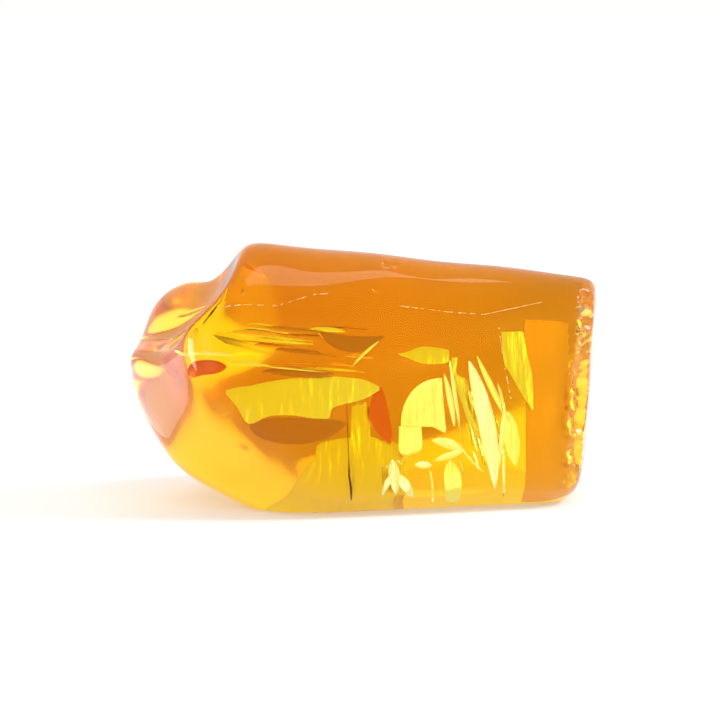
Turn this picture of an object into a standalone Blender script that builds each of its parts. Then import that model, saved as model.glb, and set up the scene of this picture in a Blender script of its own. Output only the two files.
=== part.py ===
"""A piece of clear Baltic amber, tumbled smooth, with one broken end.

One solid, about 42 mm long. It is worked out as a stone is: flat faces ground
around a heart point, edges worn round, a knob left at the back of the narrow
end, hollows worn into it, and small chips knocked off the rim of the broken end.
Its front looks along -Y, its broken end along +X, and it rests on z = 0.
"""
import math

import bmesh
import bpy
import numpy as np

MM = 0.001

# Driving dimensions, in millimetres and degrees
HEART_HEIGHT = 12.0          # the heart point's height over the resting face
EDGE_WEAR = 0.55             # how round the edges between the faces are worn
FAR_OUT = 34.0               # beyond the stone's farthest corner from its heart

# Each ground face: the turn it looks along (0 front, 90 right, 180 back),
# its tilt above the horizon, and its reach, the distance from the heart
FACES = {
    "front": (14, 5, 10.19),
    "brow": (14, 40, 11.64),
    "top": (90, 83, 10.58),
    "roof": (182, 38, 3.86),
    "back": (170, 22, 8.72),
    "back_slant": (149, 31, 13.85),
    "back_corner": (152, 4, 15.20),
    "undercut": (170, -25, 15.50),
    "broken_end": (82, -3.5, 20.72),
    "left_roof": (-95, 52, 15.20),
    "prow": (-62, -5, 19.29),
    "left_back": (-122, -6, 17.00),
    "chin": (-86, -33, 18.88),
    "keel": (-80, -60, 16.10),
    "jowl": (-26, -36, 16.26),
    "heel": (86, -46, 21.70),
    "front_heel": (14, -58, 14.52),
}

# The knob behind the narrow end: centre from the heart, radius; the sloping face
# on its back, as turn, tilt, reach; and how softly it runs into the stone
KNOB = ((-14.4, 1.0, 2.7), 4.7)
KNOB_ROOF = (181, 41, 6.1)
KNOB_BLEND = 0.7

# Worn hollows: centre from the heart, radius
HOLLOWS = {
    "saddle_front": ((-22.5, -8.0, 13.1), 12.0),
    "saddle_back": ((-24.7, -1.8, 11.1), 10.5),
}
HOLLOW_WEAR = 0.5

# Slow swells left in the faces by tumbling: height, wavelength, turn, tilt
SWELLS = (
    (0.05, 13.0, 25, 10),
    (0.03, 8.5, 100, 35),
    (0.03, 6.0, -40, 60),
)

# Chips along the rim of the broken end
CHIP_COUNT = 15
CHIP_RADIUS = (1.2, 2.4)
CHIP_DEPTH = (0.7, 1.4)
CHIP_HEIGHTS = (-8.0, 8.8)   # from the heart
CHIP_STRAY = 0.6             # how far a chip strays up or down from its even place
CHIP_WEAR = 0.08
CHIP_SEED = 4

# Mesh fineness
BALL_LEVELS = 6
MARCH_STEPS = 60
HALVINGS = 30
KEPT_SHARE = 0.34            # triangles kept where the surface is nearly flat
CREASE_ANGLE = 35.0
SAME_PLACE = 1e-7            # metres: nearer points than this are one

# The resin
RESIN_COLOUR = (0.93, 0.36, 0.02, 1.0)
RESIN_ROUGHNESS = 0.08
RESIN_IOR = 1.54


def facing(turn, tilt):
    """The unit vector that looks along a turn and tilts above the horizon."""
    turn, tilt = math.radians(turn), math.radians(tilt)
    flat = math.cos(tilt)
    return np.array([math.sin(turn) * flat, -math.cos(turn) * flat, math.sin(tilt)])


def worn_max(first, second, wear):
    """The larger of two heights, with the corner between them worn round."""
    return wear * np.logaddexp(first / wear, second / wear)


def beyond_ball(points, centre, radius):
    return np.linalg.norm(points - np.array(centre), axis=1) - radius


def rim_point(height):
    """Where the front face meets the broken end, at a height from the heart."""
    front, end = FACES["front"], FACES["broken_end"]
    normals = np.array([facing(*front[:2]), facing(*end[:2])])
    reaches = np.array([front[2], end[2]]) - normals[:, 2] * height
    return np.array([*np.linalg.solve(normals[:, :2], reaches), height])


def chips():
    """Small shell-shaped bites along the rim: centre from the heart, radius."""
    dice = np.random.default_rng(CHIP_SEED)
    outward = facing(*FACES["front"][:2]) + facing(*FACES["broken_end"][:2])
    outward /= np.linalg.norm(outward)
    for height in np.linspace(*CHIP_HEIGHTS, CHIP_COUNT):
        radius = dice.uniform(*CHIP_RADIUS)
        lift = radius - dice.uniform(*CHIP_DEPTH)
        yield rim_point(height + dice.uniform(-CHIP_STRAY, CHIP_STRAY)) + outward * lift, radius


def beyond_knob(points):
    turn, tilt, reach = KNOB_ROOF
    roof = points @ facing(turn, tilt) - reach
    return worn_max(beyond_ball(points, *KNOB), roof, EDGE_WEAR)


def swell(points):
    total = np.zeros(len(points))
    for height, wavelength, turn, tilt in SWELLS:
        along = points @ facing(turn, tilt)
        total += height * np.sin(along * 2 * math.pi / wavelength)
    return total


def beyond_stone(points):
    """Over zero outside the stone, under zero inside; points are from the heart."""
    gaps = [points @ facing(turn, tilt) - reach for turn, tilt, reach in FACES.values()]
    skin = EDGE_WEAR * np.logaddexp.reduce(np.array(gaps) / EDGE_WEAR, axis=0)
    skin += swell(points)
    for hollow in HOLLOWS.values():
        skin = worn_max(skin, -beyond_ball(points, *hollow), HOLLOW_WEAR)
    skin = -worn_max(-skin, -beyond_knob(points), KNOB_BLEND)
    for chip in chips():
        skin = worn_max(skin, -beyond_ball(points, *chip), CHIP_WEAR)
    return skin


def reach_along(directions):
    """How far the stone's surface lies from its heart along each direction."""
    near = np.zeros(len(directions))
    far = np.full(len(directions), FAR_OUT)
    open_rays = np.ones(len(directions), dtype=bool)
    for step in range(1, MARCH_STEPS + 1):
        reach = FAR_OUT * step / MARCH_STEPS
        crossed = open_rays & (beyond_stone(directions * reach) > 0)
        far[crossed] = reach
        open_rays &= ~crossed
        near[open_rays] = reach
    for _ in range(HALVINGS):
        middle = (near + far) / 2
        outside = beyond_stone(directions * middle[:, None]) > 0
        far = np.where(outside, middle, far)
        near = np.where(outside, near, middle)
    return near


def worn_stone():
    """The stone as a closed mesh, before its resting face is cut."""
    mesh = bpy.data.meshes.new("amber")
    shell = bmesh.new()
    bmesh.ops.create_icosphere(shell, subdivisions=BALL_LEVELS, radius=1.0)
    directions = np.array([vert.co[:] for vert in shell.verts])
    directions /= np.linalg.norm(directions, axis=1, keepdims=True)
    places = directions * reach_along(directions)[:, None]
    places[:, 2] += HEART_HEIGHT
    for vert, place in zip(shell.verts, places):
        vert.co = place * MM
    shell.to_mesh(mesh)
    shell.free()
    stone = bpy.data.objects.new("amber", mesh)
    bpy.context.collection.objects.link(stone)
    return stone


def thin_out(stone):
    """Fewer triangles on the flat faces, the same number on the worn edges."""
    thinning = stone.modifiers.new("thinning", "DECIMATE")
    thinning.ratio = KEPT_SHARE
    bpy.context.view_layer.update()
    view = bpy.context.evaluated_depsgraph_get()
    thinned = bpy.data.meshes.new_from_object(stone.evaluated_get(view))
    stone.modifiers.remove(thinning)
    stone.data = thinned


def cut_resting_face(stone):
    """Cut the underside flat at z = 0 and centre the stone over the origin."""
    shell = bmesh.new()
    shell.from_mesh(stone.data)
    everything = shell.verts[:] + shell.edges[:] + shell.faces[:]
    bmesh.ops.bisect_plane(shell, geom=everything, dist=SAME_PLACE, plane_co=(0, 0, 0),
                           plane_no=(0, 0, 1), clear_inner=True)
    rim = [edge for edge in shell.edges if edge.is_boundary]
    bmesh.ops.holes_fill(shell, edges=rim)
    bmesh.ops.recalc_face_normals(shell, faces=shell.faces)
    places = np.array([vert.co[:] for vert in shell.verts])
    middle = (places.min(axis=0) + places.max(axis=0)) / 2
    bmesh.ops.translate(shell, verts=shell.verts, vec=(-middle[0], -middle[1], 0))
    shell.to_mesh(stone.data)
    shell.free()


def amber_resin():
    """Clear fossil resin, honey orange, polished by tumbling."""
    resin = bpy.data.materials.new("amber_resin")
    resin.use_nodes = True
    surface = resin.node_tree.nodes["Principled BSDF"]
    surface.inputs["Base Color"].default_value = RESIN_COLOUR
    surface.inputs["Roughness"].default_value = RESIN_ROUGHNESS
    surface.inputs["Metallic"].default_value = 0.0
    surface.inputs["IOR"].default_value = RESIN_IOR
    surface.inputs["Transmission Weight"].default_value = 1.0
    return resin


def build():
    for thing in list(bpy.data.objects):
        bpy.data.objects.remove(thing)
    stone = worn_stone()
    thin_out(stone)
    cut_resting_face(stone)
    stone.data.materials.append(amber_resin())
    stone.data.shade_smooth()
    stone.data.set_sharp_from_angle(angle=math.radians(CREASE_ANGLE))


build()
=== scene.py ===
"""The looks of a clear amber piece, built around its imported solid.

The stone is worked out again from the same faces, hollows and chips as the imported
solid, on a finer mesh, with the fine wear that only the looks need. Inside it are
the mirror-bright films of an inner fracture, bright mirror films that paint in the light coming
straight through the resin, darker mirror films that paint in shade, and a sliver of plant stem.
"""
import math

import bmesh
import bpy
import numpy as np
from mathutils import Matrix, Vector


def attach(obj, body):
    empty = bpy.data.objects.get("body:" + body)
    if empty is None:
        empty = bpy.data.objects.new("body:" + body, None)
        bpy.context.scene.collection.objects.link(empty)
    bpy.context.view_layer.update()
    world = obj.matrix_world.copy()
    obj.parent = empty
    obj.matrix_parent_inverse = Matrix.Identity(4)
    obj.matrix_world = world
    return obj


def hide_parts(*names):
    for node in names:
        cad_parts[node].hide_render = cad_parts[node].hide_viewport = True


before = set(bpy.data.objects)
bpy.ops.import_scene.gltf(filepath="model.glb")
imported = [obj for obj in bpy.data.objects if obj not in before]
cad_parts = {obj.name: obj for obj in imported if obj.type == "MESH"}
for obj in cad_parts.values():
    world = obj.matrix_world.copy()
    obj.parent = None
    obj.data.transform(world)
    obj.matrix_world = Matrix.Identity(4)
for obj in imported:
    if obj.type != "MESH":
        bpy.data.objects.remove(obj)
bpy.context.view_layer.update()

MM = 0.001

# ---------------------------------------------------------------------------
# The stone's own dimensions, in millimetres and degrees, as its solid has them
# ---------------------------------------------------------------------------
HEART_HEIGHT = 12.0          # the heart point's height over the resting face
EDGE_WEAR = 0.55             # how round the edges between the faces are worn
FAR_OUT = 34.0               # beyond the stone's farthest corner from its heart

# Each ground face: the turn it looks along (0 front, 90 right, 180 back),
# its tilt above the horizon, and its reach from the heart
FACES = {
    "front": (14, 5, 10.19),
    "brow": (14, 40, 11.64),
    "top": (90, 83, 10.58),
    "roof": (182, 38, 3.86),
    "back": (170, 22, 8.72),
    "back_slant": (149, 31, 13.85),
    "back_corner": (152, 4, 15.20),
    "undercut": (170, -25, 15.50),
    "broken_end": (82, -3.5, 20.72),
    "left_roof": (-95, 52, 15.20),
    "prow": (-62, -5, 19.29),
    "left_back": (-122, -6, 17.00),
    "chin": (-86, -33, 18.88),
    "keel": (-80, -60, 16.10),
    "jowl": (-26, -36, 16.26),
    "heel": (86, -46, 21.70),
    "front_heel": (14, -58, 14.52),
}

# The knob behind the narrow end: centre from the heart, radius; the sloping face
# on its back, as turn, tilt, reach; and how softly it runs into the stone
KNOB = ((-14.4, 1.0, 2.7), 4.7)
KNOB_ROOF = (181, 41, 6.1)
KNOB_BLEND = 0.7

# Worn hollows: centre from the heart, radius
HOLLOWS = {
    "saddle_front": ((-22.5, -8.0, 13.1), 12.0),
    "saddle_back": ((-24.7, -1.8, 11.1), 10.5),
}
HOLLOW_WEAR = 0.5

# Slow swells left in the faces by tumbling: height, wavelength, turn, tilt
SWELLS = (
    (0.05, 13.0, 25, 10),
    (0.03, 8.5, 100, 35),
    (0.03, 6.0, -40, 60),
)

# Chips along the rim of the broken end
CHIP_COUNT = 15
CHIP_RADIUS = (1.2, 2.4)
CHIP_DEPTH = (0.7, 1.4)
CHIP_HEIGHTS = (-8.0, 8.8)   # from the heart
CHIP_STRAY = 0.6             # how far a chip strays up or down from its even place
CHIP_WEAR = 0.08
CHIP_SEED = 4

# Small pits knocked into the brow, which only the looks have: across and up from the
# heart, radius, depth
PITS = (
    (2.3, 9.75, 0.8, 0.22),
    (3.1, 9.7, 0.7, 0.20),
    (-9.9, 7.85, 0.5, 0.18),
    (1.4, 7.65, 0.5, 0.16),
    (-11.6, 6.7, 0.5, 0.15),
)
PIT_WEAR = 0.03
PIT_MARGIN = 0.2             # how far round a pit the mesh is made finer
# The bruised, crumbling edge of the broken end: how wide it is, and its crumbs'
# height and wavelengths
BRUISE_WIDTH = 1.3
CRUMB_HEIGHT = 0.07
CRUMB_SIZES = (0.9, 0.55)
# How far each of the three crossing waves is bent, and how fast the bend goes
CRUMB_BENDS = ((1.7, 0.8), (1.3, 0.9), (1.9, 0.7))
FINE_RIM = 0.15              # the mesh is made finer where the rim's closeness is over it

BALL_LEVELS = 7
MARCH_STEPS = 60
HALVINGS = 30
CREASE_ANGLE = 35.0

# Faces left matt by the ground they lay in, and how rough that leaves them
MATT_FACES = ("roof", "back", "back_slant", "undercut", "left_back", "back_corner", "jowl")
MATT_ROUGHNESS = 0.18
BRUISE_ROUGHNESS = 0.5
# Faces whose reflection of the pale room is painted dim, a painted shade, and how much of it they
# keep
DIM_MIRROR_FACES = ("front", "brow")
PAINTED_DIM_SHEEN = 0.15
MATT_EDGE = 0.8              # width of the change from matt to polished
KNOB_MATT_REACH = 0.8        # how far from the knob its matt goes on

# ---------------------------------------------------------------------------
# The inner fracture, as it shows through the front face, with bright mirror films that paint
# in the light coming straight through the resin and darker ones that paint in shade. Its points
# are millimetres across and up from the middle of the view; a depth is how far a film lies behind
# the front face along the line of sight, and the deeper, the more golden it looks.
# ---------------------------------------------------------------------------
RESIN_IOR = 1.54
# The turn and tilt that each kind of film looks along
FILM_FACING = {
    "bright": (10, 4), "golden": (5, 9), "amber": (5, 9), "brown": (3, 9), "ruddy": (3, 9),
}

# Narrow films, pointed at both ends: kind, depth, start, end, greatest width, and how
# far the middle bends to the left of the way from start to end
BLADES = {
    "left_sliver": ("bright", 2.6, (7.6, -1.2), (8.5, -6.0), 0.55, 0.1),
    "second_sliver": ("bright", 2.4, (8.1, 0.0), (9.0, -6.0), 0.35, 0.0),
    "tall_petal": ("bright", 1.6, (9.8, 0.0), (12.2, -11.4), 1.5, 0.4),
    "right_stem": ("bright", 3.0, (10.5, 0.4), (13.6, -5.8), 0.55, -0.1),
    "right_petal": ("bright", 3.0, (13.3, -4.6), (14.0, -9.5), 1.4, 0.0),
    "inner_sliver": ("bright", 2.2, (13.0, -3.8), (12.4, -10.0), 0.45, 0.1),
    "foot_sliver": ("bright", 2.2, (13.0, -7.9), (13.1, -12.0), 0.3, -0.1),
    "upper_leaf": ("bright", 2.6, (6.4, -7.2), (9.5, -8.3), 0.9, 0.2),
    "lower_leaf": ("bright", 2.6, (6.6, -9.1), (9.4, -8.2), 0.6, 0.0),
    "leaf_tail": ("bright", 2.6, (9.2, -8.2), (11.2, -10.1), 0.28, 0.0),
    "hanging_leaf": ("bright", 3.4, (8.1, -9.0), (8.6, -12.4), 1.5, 0.0),
    "star_spike": ("bright", 1.8, (2.9, -8.9), (3.3, -11.8), 1.0, 0.0),
    "star_left": ("bright", 1.8, (3.0, -10.0), (2.0, -11.9), 0.5, 0.0),
    "star_right": ("bright", 1.8, (2.9, -10.1), (4.9, -12.0), 0.8, 0.1),
    "small_flag": ("bright", 1.8, (4.9, -9.4), (6.5, -9.5), 0.6, 0.0),
    "low_streak": ("bright", 3.4, (6.3, -9.8), (6.7, -11.9), 0.22, 0.0),
    "pale_thread": ("golden", 3.2, (-16.2, 0.65), (-11.0, 0.3), 0.3, 0.1),
    "pale_seam": ("golden", 4.0, (-9.2, -0.5), (-2.8, -1.15), 0.14, 0.0),
    "pale_rise": ("golden", 4.0, (-0.8, -0.7), (1.8, 1.7), 0.26, 0.1),
    # The brown and ruddy films below are darker mirrors: painted shade over the resin's darker
    # patches
    "brown_lens": ("brown", 6.0, (-9.8, -5.7), (-1.1, -5.7), 2.4, -0.7),
    "red_wedge": ("ruddy", 6.0, (1.7, -2.3), (2.8, -7.5), 1.7, -0.5),
    "brown_seam": ("brown", 5.0, (-9.0, -1.0), (-2.2, -1.3), 0.8, 0.0),
    "upper_brown": ("brown", 5.5, (-3.8, 2.5), (2.3, 2.0), 1.5, -0.9),
    "fine_seam": ("brown", 4.0, (-6.8, 0.85), (-2.0, 0.25), 0.2, 0.0),
    "left_ruddy_shade": ("ruddy", 8.0, (-15.0, -0.4), (-12.0, -0.6), 1.2, -0.1),
}
BLADE_STEPS = 14
BLADE_FULLNESS = 0.7         # 1 is a lens with sharp tips, 0.5 an ellipse
BLADE_TIP = 0.01             # the share of its length that is cut off each end

# The lobe of the fan, a quarter round: kind, depth, its top, its height and width, and
# its straight right edge at its top and foot
LOBE = ("bright", 3.0, -1.6, 4.4, 4.0, (7.4, 7.7))
LOBE_STEPS = 15

# Wider films: kind, depth, whether the rows run across (0) or up (1), then the rows:
# their place, and where their two edges are
SHEETS = {
    "lobe_leg": ("bright", 3.0, 0, ((-6.0, 3.5, 5.5), (-8.0, 3.5, 5.5), (-8.5, 3.75, 4.5))),
    "lobe_spur": ("bright", 3.0, 0, ((-6.0, 6.5, 7.75), (-6.5, 7.5, 7.75))),
    "middle_wedge": ("golden", 5.0, 0, (
        (0.25, 8.25, 8.75), (-1.25, 8.25, 8.75), (-2.0, 8.5, 9.75), (-4.0, 9.25, 10.0),
        (-5.5, 9.75, 10.5), (-8.0, 10.75, 11.0))),
    # The tongues and pools are bright mirror films: painted light where light comes straight
    # through the resin
    "upper_tongue": ("golden", 6.5, 1, (
        (3.5, 0.5, 0.6), (4.25, 0.25, 0.75), (5.75, -0.25, 1.25), (7.75, -0.25, 1.0),
        (8.0, 0.25, 0.75))),
    "right_tongue": ("golden", 5.6, 0, (
        (2.5, 12.75, 14.75), (-0.25, 13.0, 15.25), (-1.25, 13.5, 15.5), (-4.5, 15.4, 15.6))),
    "long_tongue": ("golden", 6.3, 1, (
        (-12.0, -2.9, -2.6), (-11.0, -4.1, -2.4), (-9.8, -5.6, -2.3), (-8.2, -5.1, -2.0),
        (-6.0, -5.0, -1.7), (-3.0, -5.3, -1.5), (-2.4, -4.2, -1.5), (0.25, -3.5, -1.75),
        (1.7, -2.7, -2.4))),
    "low_pool": ("golden", 8.6, 0, (
        (-6.9, 0.3, 0.9), (-7.5, -3.5, 3.25), (-9.0, -4.25, 4.0), (-11.75, -7.0, 4.5),
        (-12.4, -7.6, 4.6))),
    # A deep amber mirror film: painted shade inside the broken end
    "end_patch": ("amber", 6.0, 1, (
        (14.9, -11.0, 3.5), (16.2, -11.2, 3.4), (17.8, -10.8, 3.3), (18.7, -9.6, 3.1))),
    # The pool's neck is a bright mirror film too: painted light
    "pool_neck": ("golden", 8.6, 1, ((-0.75, -7.75, -3.75), (0.5, -7.5, -3.75), (1.0, -7.5, -5.0))),
}
SHEET_STEPS = 3              # rows put in between two given ones

# Fine seams where one flow of resin met the next: how many, the area that they lie in,
# across and up, their depths, lengths and widths, and how much they fall to the right
SEAM_COUNT = 22
SEAM_ACROSS = (-13.0, 1.5)
SEAM_UP = (-1.3, 4.0)
SEAM_DEPTHS = (4.0, 7.5)
SEAM_LENGTHS = (2.5, 7.0)
SEAM_WIDTHS = (0.08, 0.4)
SEAM_FALL = 0.07
SEAM_BEND = 0.1
# The seams are flow lines; the amber and brown ones are darker mirrors, painted shade along them
SEAM_KINDS = ("golden", "amber", "brown")
SEAM_SEED = 3

# Splinters between the petals of the fan: how many, where they start, across and up,
# their depths, lengths and widths, and how much they lean to the right as they fall
SPLINTER_COUNT = 30
SPLINTER_ACROSS = (8.6, 12.6)
SPLINTER_UP = (-8.5, -1.5)
SPLINTER_DEPTHS = (2.0, 5.0)
SPLINTER_LENGTHS = (0.8, 3.2)
SPLINTER_WIDTHS = (0.06, 0.24)
SPLINTER_LEAN = 0.27
SPLINTER_BEND = 0.05
SPLINTER_SEED = 5

# Flakes of air in the bruised rim: how many, how far in from the rim, and their size
FLAKE_COUNT = 260
FLAKE_DEPTHS = (0.5, 1.9)
FLAKE_SIZE = 0.16
FLAKE_COVER = 0.12           # the least resin over a flake

# Hair cracks: depth, half-width, and points along them
HAIR_CRACKS = {
    "left_crease": (0.35, 0.045, [
        (-13.3, 4.5), (-11.6, 4.9), (-10.2, 5.0), (-7.4, 4.9), (-4.2, 5.9), (-2.8, 6.0)]),
    "right_crease": (0.35, 0.04, [(3.4, 4.9), (8.1, 4.3), (11.2, 4.1), (16.4, 5.2)]),
    "patch_edge": (0.9, 0.05, [(12.5, 3.2), (12.9, 0.1), (13.6, -3.5)]),
    "jagged_thread": (1.2, 0.05, [
        (2.0, -9.6), (2.3, -9.2), (2.4, -9.7), (2.9, -9.0), (3.1, -9.5), (3.4, -9.0), (3.7, -9.4),
        (3.9, -8.8), (4.5, -8.6)]),
}
CRACK_STEP = 0.25            # how long the pieces of a hair crack are
CRACK_GAPS = 0.3             # the share of its pieces that is missing
CRACK_WIDTHS = (0.3, 1.5)    # of the half-width
CRACK_ENDS = (0.7, 1.2)      # of a piece's length
CRACK_SEED = 11

# A sliver of plant stem, from its top: across, up, depth, and its half-thickness there
STEM = (
    (-1.2, -3.8, 2.5, 0.02), (-1.1, -6.3, 2.4, 0.03), (-1.0, -8.6, 2.2, 0.035),
    (-1.0, -10.4, 2.0, 0.09), (-0.8, -11.5, 1.8, 0.11), (-0.7, -12.4, 1.6, 0.05),
)
STEM_SIDES = 8
FILM_THICKNESS = 0.03
FILM_COLUMNS = 5             # points across a film
FILM_BOW = 0.015             # how far a film bows out in its middle


def linear(hex_colour):
    """An sRGB hex colour as the linear red, green, blue and alpha that nodes take."""
    parts = [int(hex_colour[i:i + 2], 16) / 255 for i in (1, 3, 5)]
    parts = [p / 12.92 if p <= 0.04045 else ((p + 0.055) / 1.055) ** 2.4 for p in parts]
    return (*parts, 1.0)


def add(tree, kind, sockets={}, **options):
    """Add a node, set its options, and set or feed its sockets."""
    made = tree.nodes.new(kind)
    for option, value in options.items():
        setattr(made, option, value)
    for name, value in sockets.items():
        if isinstance(value, bpy.types.NodeSocket):
            tree.links.new(value, made.inputs[name])
        else:
            made.inputs[name].default_value = value
    return made


# ---------------------------------------------------------------------------
# The stone's shape
# ---------------------------------------------------------------------------
def facing(turn, tilt):
    """The unit vector that looks along a turn and tilts above the horizon."""
    turn, tilt = math.radians(turn), math.radians(tilt)
    flat = math.cos(tilt)
    return np.array([math.sin(turn) * flat, -math.cos(turn) * flat, math.sin(tilt)])


def across(turn):
    """The level unit vector that lies in a face which looks along a turn."""
    return np.array([math.cos(math.radians(turn)), math.sin(math.radians(turn)), 0.0])


def worn_max(first, second, wear):
    """The larger of two heights, with the corner between them worn round."""
    return wear * np.logaddexp(first / wear, second / wear)


def beyond_ball(points, centre, radius):
    return np.linalg.norm(points - np.array(centre), axis=1) - radius


def rim_point(height):
    """Where the front face meets the broken end, at a height from the heart."""
    front, end = FACES["front"], FACES["broken_end"]
    normals = np.array([facing(*front[:2]), facing(*end[:2])])
    reaches = np.array([front[2], end[2]]) - normals[:, 2] * height
    return np.array([*np.linalg.solve(normals[:, :2], reaches), height])


def chips():
    """Small shell-shaped bites along the rim: centre from the heart, radius."""
    dice = np.random.default_rng(CHIP_SEED)
    outward = facing(*FACES["front"][:2]) + facing(*FACES["broken_end"][:2])
    outward /= np.linalg.norm(outward)
    for height in np.linspace(*CHIP_HEIGHTS, CHIP_COUNT):
        radius = dice.uniform(*CHIP_RADIUS)
        lift = radius - dice.uniform(*CHIP_DEPTH)
        yield rim_point(height + dice.uniform(-CHIP_STRAY, CHIP_STRAY)) + outward * lift, radius


def beyond_knob(points):
    turn, tilt, reach = KNOB_ROOF
    roof = points @ facing(turn, tilt) - reach
    return worn_max(beyond_ball(points, *KNOB), roof, EDGE_WEAR)


def swell(points):
    total = np.zeros(len(points))
    for height, wavelength, turn, tilt in SWELLS:
        along = points @ facing(turn, tilt)
        total += height * np.sin(along * 2 * math.pi / wavelength)
    return total


def rim_closeness(points):
    """1 at the rim between the front and the broken end, 0 well away from it."""
    away = np.zeros(len(points))
    for turn, tilt, reach in (FACES["front"], FACES["broken_end"]):
        away += (points @ facing(turn, tilt) - reach) ** 2
    return np.exp(-away / BRUISE_WIDTH ** 2)


def crumbs(points):
    """Crumbling of the bruised rim, from waves that cross at odd angles."""
    total = np.zeros(len(points))
    first, second, third = CRUMB_BENDS
    for size in CRUMB_SIZES:
        x, y, z = (points * 2 * math.pi / size).T
        wave = np.sin(x + first[0] * np.sin(first[1] * z))
        total += size * wave * np.sin(y + second[0] * np.sin(second[1] * x))
        total += size * np.sin(z + third[0] * np.sin(third[1] * y))
    return CRUMB_HEIGHT * total * rim_closeness(points)


def pits():
    """Small round bites in the brow: the point on the face, the centre, the radius."""
    turn, tilt, reach = FACES["brow"]
    outward = facing(turn, tilt)
    for side, height, radius, depth in PITS:
        point = np.array([side, 0, height])
        point[1] = (reach - point @ outward) / outward[1]
        yield point, point + outward * (radius - depth), radius


def beyond_stone(points):
    """Over zero outside the stone, under zero inside; points are from the heart."""
    gaps = [points @ facing(turn, tilt) - reach for turn, tilt, reach in FACES.values()]
    skin = EDGE_WEAR * np.logaddexp.reduce(np.array(gaps) / EDGE_WEAR, axis=0)
    skin += swell(points)
    for hollow in HOLLOWS.values():
        skin = worn_max(skin, -beyond_ball(points, *hollow), HOLLOW_WEAR)
    skin = -worn_max(-skin, -beyond_knob(points), KNOB_BLEND)
    for chip in chips():
        skin = worn_max(skin, -beyond_ball(points, *chip), CHIP_WEAR)
    skin += crumbs(points)
    for point, centre, radius in pits():
        skin = worn_max(skin, -beyond_ball(points, centre, radius), PIT_WEAR)
    return skin


def reach_along(directions):
    """How far the stone's surface lies from its heart along each direction."""
    near = np.zeros(len(directions))
    far = np.full(len(directions), FAR_OUT)
    open_rays = np.ones(len(directions), dtype=bool)
    for step in range(1, MARCH_STEPS + 1):
        reach = FAR_OUT * step / MARCH_STEPS
        crossed = open_rays & (beyond_stone(directions * reach) > 0)
        far[crossed] = reach
        open_rays &= ~crossed
        near[open_rays] = reach
    for _ in range(HALVINGS):
        middle = (near + far) / 2
        outside = beyond_stone(directions * middle[:, None]) > 0
        far = np.where(outside, middle, far)
        near = np.where(outside, near, middle)
    return near


def ball_directions(verts):
    directions = np.array([vert.co[:] for vert in verts])
    return directions / np.linalg.norm(directions, axis=1, keepdims=True)


def cut_resting_face(shell):
    """Cut the underside flat, at the resting face's height."""
    everything = shell.verts[:] + shell.edges[:] + shell.faces[:]
    bmesh.ops.bisect_plane(shell, geom=everything, dist=1e-5, plane_co=(0, 0, -HEART_HEIGHT),
                           plane_no=(0, 0, 1), clear_inner=True)
    rim = [edge for edge in shell.edges if edge.is_boundary]
    bmesh.ops.holes_fill(shell, edges=rim)
    bmesh.ops.recalc_face_normals(shell, faces=shell.faces)


def wear_out(verts):
    """Move points along their own directions to the stone's skin."""
    directions = ball_directions(verts)
    for vert, place in zip(verts, directions * reach_along(directions)[:, None]):
        vert.co = place


def refine(shell):
    """Halve the edges where the skin has its smallest marks."""
    places = np.array([vert.co[:] for vert in shell.verts])
    marked = rim_closeness(places) > FINE_RIM
    for point, _, radius in pits():
        marked |= beyond_ball(places, point, radius) < PIT_MARGIN
    shell.verts.ensure_lookup_table()
    edges = [edge for edge in shell.edges
             if marked[edge.verts[0].index] or marked[edge.verts[1].index]]
    bmesh.ops.subdivide_edges(shell, edges=edges, cuts=1)
    bmesh.ops.triangulate(shell, faces=[face for face in shell.faces if len(face.verts) > 3])


def stone_shell():
    """The stone's outer skin, in millimetres from its heart."""
    shell = bmesh.new()
    bmesh.ops.create_icosphere(shell, subdivisions=BALL_LEVELS, radius=1.0)
    wear_out(list(shell.verts))
    worn = len(shell.verts)
    refine(shell)
    wear_out(list(shell.verts)[worn:])
    cut_resting_face(shell)
    return shell


def solid_from(name, shell):
    """A mesh object from a shell that is in millimetres from the heart."""
    mesh = bpy.data.meshes.new(name)
    shell.to_mesh(mesh)
    shell.free()
    solid = bpy.data.objects.new(name, mesh)
    bpy.context.collection.objects.link(solid)
    return solid


def settle(solid, heart):
    """Bring a solid from millimetres about the heart to its place in metres."""
    places = np.array([vert.co[:] for vert in solid.data.vertices])
    places = (places + heart) * MM
    solid.data.vertices.foreach_set("co", places.ravel())
    solid.data.update()


def share_of(points, names):
    """How much of the skin at each point belongs to the named faces."""
    total = np.zeros(len(points))
    theirs = np.zeros(len(points))
    for name, (turn, tilt, reach) in FACES.items():
        share = np.exp(np.clip((points @ facing(turn, tilt) - reach) / MATT_EDGE, -60, 60))
        total += share
        if name in names:
            theirs += share
    return theirs / total


def roughness_at(points):
    """Polished in front, matt behind and on the knob, and torn along the rim."""
    knob = np.exp(-(beyond_ball(points, *KNOB) / KNOB_MATT_REACH) ** 2)
    matt = np.maximum(share_of(points, MATT_FACES), knob)
    return MATT_ROUGHNESS * matt + BRUISE_ROUGHNESS * rim_closeness(points)


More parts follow.
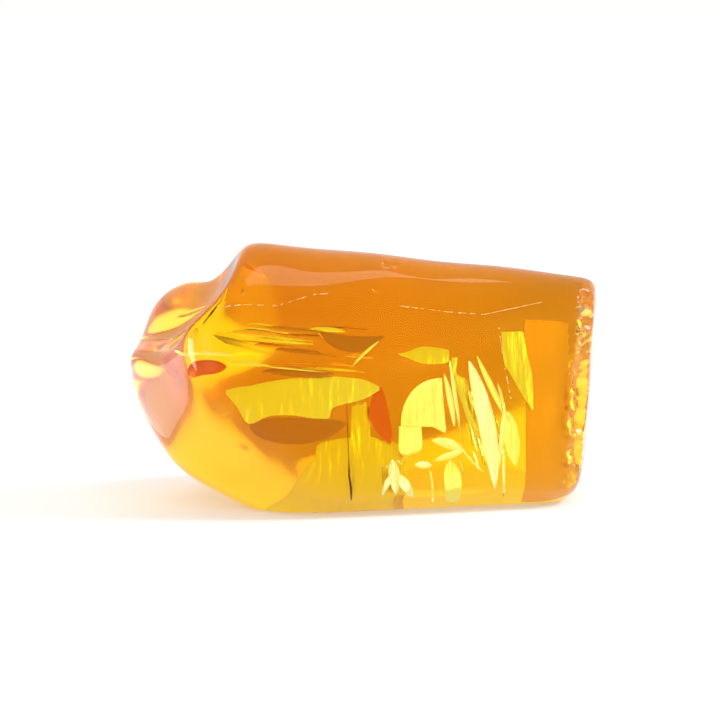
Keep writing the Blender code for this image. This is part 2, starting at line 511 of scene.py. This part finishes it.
def clear_stone():
    shell = stone_shell()
    places = np.array([vert.co[:] for vert in shell.verts])
    middle = (places.min(axis=0) + places.max(axis=0)) / 2
    stone = solid_from("clear_stone", shell)
    places = np.array([vert.co[:] for vert in stone.data.vertices])
    matt = stone.data.attributes.new("matt", "FLOAT", "POINT")
    matt.data.foreach_set("value", roughness_at(places).astype("f"))
    # The sheen paints the reflection on the front and brow dim, a painted shade; the other faces
    # mirror as resin does
    sheen = stone.data.attributes.new("sheen", "FLOAT", "POINT")
    dim_mirror_share = share_of(places, DIM_MIRROR_FACES)
    sheen.data.foreach_set("value", (1 + (PAINTED_DIM_SHEEN - 1) * dim_mirror_share).astype("f"))
    heart = np.array([-middle[0], -middle[1], HEART_HEIGHT])
    settle(stone, heart)
    stone.data.shade_smooth()
    stone.data.set_sharp_from_angle(angle=math.radians(CREASE_ANGLE))
    return stone, heart


# ---------------------------------------------------------------------------
# The films of the inner fracture
# ---------------------------------------------------------------------------
def behind_front(seen, depth):
    """Where the line of sight to a point of the view is at a depth behind the front
    face, and the way it runs there, from the heart."""
    ahead = np.array([0, math.cos(CAMERA_RISE), -math.sin(CAMERA_RISE)])
    upward = np.array([0, math.sin(CAMERA_RISE), math.cos(CAMERA_RISE)])
    distance = CAMERA_DISTANCE / MM
    eye = np.array([0, 0, AIM_HEIGHT / MM - HEART_HEIGHT]) - ahead * distance
    sight = ahead * distance + np.array([seen[0], 0, 0]) + upward * seen[1]
    sight /= np.linalg.norm(sight)
    turn, tilt, reach = FACES["front"]
    front = facing(turn, tilt)
    entry = eye + sight * (reach - eye @ front) / (sight @ front)
    slant = -sight @ front
    turned = slant / RESIN_IOR - math.sqrt(1 - (1 - slant ** 2) / RESIN_IOR ** 2)
    bent = sight / RESIN_IOR + front * turned
    return entry + bent * depth, bent


def add_film(shell, kind, depth, rows):
    """A film from the two ends of each of its rows, as they are seen; it is flat but
    for a slight bow, and lies at its depth in its middle."""
    outward = facing(*FILM_FACING[kind])
    middle, _ = behind_front(np.mean([point for row in rows for point in row], axis=0), depth)
    grid = []
    for first, last in rows:
        line = []
        for share in np.linspace(0, 1, FILM_COLUMNS):
            seen = np.array(first) + (np.array(last) - first) * share
            place, bent = behind_front(seen, depth)
            place = place + bent * ((middle - place) @ outward) / (bent @ outward)
            line.append(shell.verts.new(place + outward * FILM_BOW * 4 * share * (1 - share)))
        grid.append(line)
    for low, high in zip(grid, grid[1:]):
        for i in range(FILM_COLUMNS - 1):
            shell.faces.new((low[i], low[i + 1], high[i + 1], high[i]))


def blade_rows(start, end, width, bend):
    """The rows of a narrow film that is pointed at both its ends."""
    start, way = np.array(start), np.array(end) - start
    left = np.array([-way[1], way[0]]) / np.linalg.norm(way)
    for share in np.linspace(BLADE_TIP, 1 - BLADE_TIP, BLADE_STEPS):
        fullness = 4 * share * (1 - share)
        middle = start + way * share + left * bend * fullness
        half = left * width / 2 * fullness ** BLADE_FULLNESS
        yield middle - half, middle + half


def sheet_rows(upright, rows):
    """The rows of a wide film, with more of them in between on smooth curves."""
    rows = np.array(rows)
    padded = np.vstack((2 * rows[0] - rows[1], rows, 2 * rows[-1] - rows[-2]))
    for before, low, high, after in zip(padded, padded[1:], padded[2:], padded[3:]):
        for share in np.linspace(0, 1, SHEET_STEPS + 1, endpoint=False):
            slope = high - before
            fall = 2 * before - 5 * low + 4 * high - after
            turn = 3 * low - before - 3 * high + after
            along, first, last = low + (slope + (fall + turn * share) * share) * share / 2
            yield ((along, first), (along, last)) if upright else ((first, along), (last, along))
    along, first, last = rows[-1]
    yield ((along, first), (along, last)) if upright else ((first, along), (last, along))


def lobe_rows(top, height, width, right):
    """The rows of a quarter round, from its point down to its foot."""
    for turn in np.linspace(0.1, math.pi / 2, LOBE_STEPS):
        fallen = 1 - math.cos(turn)
        last = right[0] + (right[1] - right[0]) * fallen
        along = top - height * fallen
        yield (last - width * math.sin(turn), along), (last, along)


def add_hair_crack(shell, depth, half_width, points, dice):
    """A broken line of short bright pieces, thinner and thicker by turns."""
    for first, last in zip(points, points[1:]):
        first, last = np.array(first), np.array(last)
        length = np.linalg.norm(last - first)
        side = np.array([first[1] - last[1], last[0] - first[0]]) / length
        pieces = max(2, int(length / CRACK_STEP))
        for piece in range(pieces):
            if dice.random() < CRACK_GAPS:
                continue
            width = half_width * dice.uniform(*CRACK_WIDTHS)
            start = first + (last - first) * piece / pieces
            end = first + (last - first) * (piece + dice.uniform(*CRACK_ENDS)) / pieces
            corners = (start - side * width, end, (start + end) / 2 + side * width)
            places = [behind_front(corner, depth)[0] for corner in corners]
            shell.faces.new([shell.verts.new(place) for place in places])


def flow_seams():
    """Seams between the resin's flows, as narrow films that lie nearly level."""
    dice = np.random.default_rng(SEAM_SEED)
    for count in range(SEAM_COUNT):
        length = dice.uniform(*SEAM_LENGTHS)
        start = (dice.uniform(SEAM_ACROSS[0], SEAM_ACROSS[1] - length), dice.uniform(*SEAM_UP))
        end = (start[0] + length, start[1] - length * SEAM_FALL)
        kind = SEAM_KINDS[count % len(SEAM_KINDS)]
        yield kind, dice.uniform(*SEAM_DEPTHS), start, end, dice.uniform(*SEAM_WIDTHS), SEAM_BEND


def splinters():
    """Splinters of the fan, as narrow films that fall steeply."""
    dice = np.random.default_rng(SPLINTER_SEED)
    for count in range(SPLINTER_COUNT):
        length = dice.uniform(*SPLINTER_LENGTHS)
        start = (dice.uniform(*SPLINTER_ACROSS), dice.uniform(*SPLINTER_UP))
        end = (start[0] + length * SPLINTER_LEAN, start[1] - length)
        kind = "golden" if count % 2 else "bright"
        depth = dice.uniform(*SPLINTER_DEPTHS)
        yield kind, depth, start, end, dice.uniform(*SPLINTER_WIDTHS), SPLINTER_BEND


def add_rim_flakes(shell, dice):
    """Small flakes of air just under the bruised rim, turned every way."""
    outward = facing(*FACES["front"][:2]) + facing(*FACES["broken_end"][:2])
    outward /= np.linalg.norm(outward)
    for _ in range(FLAKE_COUNT):
        middle = rim_point(dice.uniform(*CHIP_HEIGHTS)) - outward * dice.uniform(*FLAKE_DEPTHS)
        corners = middle + dice.normal(0, FLAKE_SIZE, (3, 3))
        if beyond_stone(corners).max() < -FLAKE_COVER:
            shell.faces.new([shell.verts.new(corner) for corner in corners])


def inner_films(name, kinds, heart, cracked=False):
    """All the films of some kinds, as one thin piece, with the hair cracks if asked."""
    shell = bmesh.new()
    for kind, depth, *blade in (*BLADES.values(), *flow_seams(), *splinters()):
        if kind in kinds:
            add_film(shell, kind, depth, list(blade_rows(*blade)))
    kind, depth, *lobe = LOBE
    if kind in kinds:
        add_film(shell, kind, depth, list(lobe_rows(*lobe)))
    for kind, depth, upright, rows in SHEETS.values():
        if kind in kinds:
            add_film(shell, kind, depth, list(sheet_rows(upright, rows)))
    dice = np.random.default_rng(CRACK_SEED)
    for depth, half_width, points in HAIR_CRACKS.values() if cracked else ():
        add_hair_crack(shell, depth, half_width, points, dice)
    if cracked:
        add_rim_flakes(shell, dice)
    backs = bmesh.ops.extrude_face_region(shell, geom=shell.faces[:])["geom"]
    backs = [part for part in backs if isinstance(part, bmesh.types.BMVert)]
    bmesh.ops.translate(shell, verts=backs, vec=-facing(*FACES["front"][:2]) * FILM_THICKNESS)
    bmesh.ops.recalc_face_normals(shell, faces=shell.faces)
    films = solid_from(name, shell)
    settle(films, heart)
    films.data.shade_smooth()
    films.data.set_sharp_from_angle(angle=math.radians(CREASE_ANGLE))
    return films


def plant_stem(heart):
    """A dark sliver of stem: a thin tube, swollen near its foot."""
    shell = bmesh.new()
    rings = []
    for side, height, depth, half in STEM:
        place, _ = behind_front((side, height), depth)
        ring = []
        for corner in range(STEM_SIDES):
            turn = 2 * math.pi * corner / STEM_SIDES
            off = Vector((math.cos(turn) * half, math.sin(turn) * half, 0))
            ring.append(shell.verts.new(Vector(place) + off))
        rings.append(ring)
    for low, high in zip(rings, rings[1:]):
        for i in range(STEM_SIDES):
            j = (i + 1) % STEM_SIDES
            shell.faces.new((low[i], low[j], high[j], high[i]))
    shell.faces.new(rings[0])
    shell.faces.new(rings[-1])
    bmesh.ops.recalc_face_normals(shell, faces=shell.faces)
    stem = solid_from("plant_stem", shell)
    settle(stem, heart)
    stem.data.shade_smooth()
    return stem


# ---------------------------------------------------------------------------
# Materials
# ---------------------------------------------------------------------------
ABSORBED = (2.5, 33.5, 330.0)    # red, green and blue taken up per metre
RESIN_DENSITY = 340.0


def clear_resin():
    """Baltic amber, polished by tumbling: honey clear, deeper where it is thicker,
    and a soft matt on the faces that were never polished."""
    resin = bpy.data.materials.new("baltic_amber_clear")
    resin.use_nodes = True
    tree = resin.node_tree
    matt = add(tree, "ShaderNodeAttribute", attribute_name="matt")
    surface = tree.nodes["Principled BSDF"]
    surface.inputs["Base Color"].default_value = linear("#FFFFFF")
    surface.inputs["IOR"].default_value = RESIN_IOR
    surface.inputs["Transmission Weight"].default_value = 1.0
    # Specular Tint follows the sheen, so the front and brow carry a painted dim reflection
    sheen = add(tree, "ShaderNodeAttribute", attribute_name="sheen")
    tree.links.new(sheen.outputs["Fac"], surface.inputs["Specular Tint"])
    tree.links.new(matt.outputs["Fac"], surface.inputs["Roughness"])
    left = [1 - taken / RESIN_DENSITY for taken in ABSORBED]
    depth = add(tree, "ShaderNodeVolumeAbsorption",
                {"Color": (*left, 1), "Density": RESIN_DENSITY})
    tree.links.new(depth.outputs[0], tree.nodes["Material Output"].inputs["Volume"])
    return resin


FILM_GRAIN = (1500.0, 1500.0, 250.0)  # creases a metre, fine across and long upward
FRESH_CREASE = 0.05                   # how high the creases stand, in millimetres
# How high the creases stand on the darker films that paint in shade
SHADE_FILM_CREASE = 0.008
FILM_ROUGHNESS = 0.15


def mirror_film(name, colour, crease):
    """The thin air of a fresh fracture in resin: it throws light back like a mirror.
    The same film also paints in the light that comes straight through the resin, and its brown,
    ruddy and deep amber copies are darker mirrors that paint in shade."""
    film = bpy.data.materials.new(name)
    film.use_nodes = True
    tree = film.node_tree
    surface = tree.nodes["Principled BSDF"]
    surface.inputs["Base Color"].default_value = linear(colour)
    surface.inputs["Metallic"].default_value = 1.0
    surface.inputs["Roughness"].default_value = FILM_ROUGHNESS
    place = add(tree, "ShaderNodeTexCoord").outputs["Object"]
    combed = add(tree, "ShaderNodeMapping", {"Vector": place, "Scale": FILM_GRAIN})
    grain = add(tree, "ShaderNodeTexNoise", {
        "Vector": combed.outputs["Vector"], "Scale": 1.0, "Detail": 2.0})
    creased = add(tree, "ShaderNodeBump", {
        "Height": grain.outputs["Fac"], "Strength": 1.0, "Distance": crease * MM})
    tree.links.new(creased.outputs["Normal"], surface.inputs["Normal"])
    return film


STEM_FIBRE = 4000.0                   # fibres a metre
STEM_ROUGHNESS = 0.7


def stem_bark():
    """Plant stem turned to brown stain in the resin, dull and nearly black-red."""
    bark = bpy.data.materials.new("fossil_stem")
    bark.use_nodes = True
    tree = bark.node_tree
    fibre = add(tree, "ShaderNodeTexNoise", {"Scale": STEM_FIBRE, "Detail": 3.0})
    colour = add(tree, "ShaderNodeMix", {
        "Factor": fibre.outputs["Fac"], "A": linear("#4A1606"), "B": linear("#8A3410")},
        data_type="RGBA")
    surface = tree.nodes["Principled BSDF"]
    tree.links.new(colour.outputs["Result"], surface.inputs["Base Color"])
    surface.inputs["Roughness"].default_value = STEM_ROUGHNESS
    return bark


def dress(piece, finish):
    piece.data.materials.append(finish)
    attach(piece, "root")
    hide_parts("amber")


# ---------------------------------------------------------------------------
# The studio
# ---------------------------------------------------------------------------
FLOOR_SIZE = 12.0
FLOOR_GAP = 0.0002           # the floor lies this far under the resting face
FLOOR_ROUGHNESS = 0.6
FLOOR_GLOW = 0.27            # the card is lit from under as well
TENT_GLOW = 1.05

# Soft boxes, in metres: place, what it looks at, width, height, glow, lights the floor
SOFT_BOXES = {
    "overhead": ((0.11, -0.10, 0.40), (0, 0, 0.01), 0.10, 0.05, 5, True),
    "front_box": ((0.16, -0.60, 0.02), (0, 0, 0.01), 0.12, 0.30, 1.9, True),
    "key": ((0.55, -0.05, 0.42), (0, 0, 0), 0.25, 0.25, 16, True),
    "left_panel": ((-0.10, -0.09, 0.005), (-0.015, -0.01, 0.012), 0.11, 0.05, 12, False),
    "left_card": ((-0.060, 0.030, 0.0005), (-0.060, 0.030, 1), 0.06, 0.06, 0.95, False),
}


def lay_floor():
    """Pale card under the stone; it is matt, so it mirrors nothing."""
    bpy.ops.mesh.primitive_plane_add(size=FLOOR_SIZE, location=(0, 0, -FLOOR_GAP))
    floor = bpy.context.object
    floor.name = "floor"
    paper = bpy.data.materials.new("white_studio_card")
    paper.use_nodes = True
    surface = paper.node_tree.nodes["Principled BSDF"]
    surface.inputs["Base Color"].default_value = linear("#DDDBDA")
    surface.inputs["Roughness"].default_value = FLOOR_ROUGHNESS
    surface.inputs["Specular IOR Level"].default_value = 0.0
    surface.inputs["Emission Color"].default_value = linear("#FFF9F6")
    surface.inputs["Emission Strength"].default_value = FLOOR_GLOW
    floor.data.materials.append(paper)


def surround():
    """An even white tent."""
    world = bpy.data.worlds.new("white_tent")
    bpy.context.scene.world = world
    world.use_nodes = True
    background = world.node_tree.nodes["Background"]
    background.inputs["Color"].default_value = linear("#FFFFFF")
    background.inputs["Strength"].default_value = TENT_GLOW


def soft_box(name, place, towards, width, height, glow, lights_floor):
    """A rectangle of even light; one that doesn't light the floor is only mirrored."""
    light = bpy.data.lights.new(name, "AREA")
    light.shape = "RECTANGLE"
    light.size, light.size_y = width, height
    light.energy = glow * math.pi * width * height
    box = bpy.data.objects.new(name, light)
    bpy.context.collection.objects.link(box)
    box.location = place
    aim = Vector(towards) - Vector(place)
    box.rotation_euler = aim.to_track_quat("-Z", "Y").to_euler()
    box.visible_camera = False
    box.visible_diffuse = lights_floor


CAMERA_DISTANCE = 0.280
CAMERA_RISE = math.radians(8)
VIEW_WIDTH = 0.0649          # what the picture's width takes in at the stone
AIM_HEIGHT = 0.01225
SENSOR_WIDTH = 36
LIGHT_PATHS = 24             # bounces that light takes through the resin


def set_camera(heart):
    camera = bpy.data.objects.new("camera", bpy.data.cameras.new("camera"))
    bpy.context.collection.objects.link(camera)
    aim = Vector((heart[0] * MM, heart[1] * MM, AIM_HEIGHT))
    back = Vector((0, -math.cos(CAMERA_RISE), math.sin(CAMERA_RISE)))
    camera.location = aim + back * CAMERA_DISTANCE
    camera.rotation_euler = (math.pi / 2 - CAMERA_RISE, 0, 0)
    camera.data.sensor_width = SENSOR_WIDTH
    camera.data.lens = SENSOR_WIDTH * CAMERA_DISTANCE / VIEW_WIDTH
    bpy.context.scene.camera = camera


stone, heart = clear_stone()
dress(stone, clear_resin())
# The fracture's bright films, and the golden tongues and pools, which are painted light
dress(inner_films("fracture_and_light_films", ("bright", "golden"), heart, cracked=True),
      mirror_film("fracture_and_light_film", "#EEEBD0", FRESH_CREASE))
# The brown, ruddy and deep amber films are darker mirrors: painted shade in the resin
for kind, colour in (("amber", "#EEB268"), ("brown", "#C08040"), ("ruddy", "#DD743A")):
    dress(inner_films(kind + "_films", (kind,), heart),
          mirror_film(kind + "_shade_film", colour, SHADE_FILM_CREASE))
dress(plant_stem(heart), stem_bark())
lay_floor()
surround()
for name, box in SOFT_BOXES.items():
    soft_box(name, *box)
set_camera(heart)
scene = bpy.context.scene
scene.view_settings.view_transform = "Standard"
scene.cycles.transmission_bounces = LIGHT_PATHS
scene.cycles.max_bounces = LIGHT_PATHS
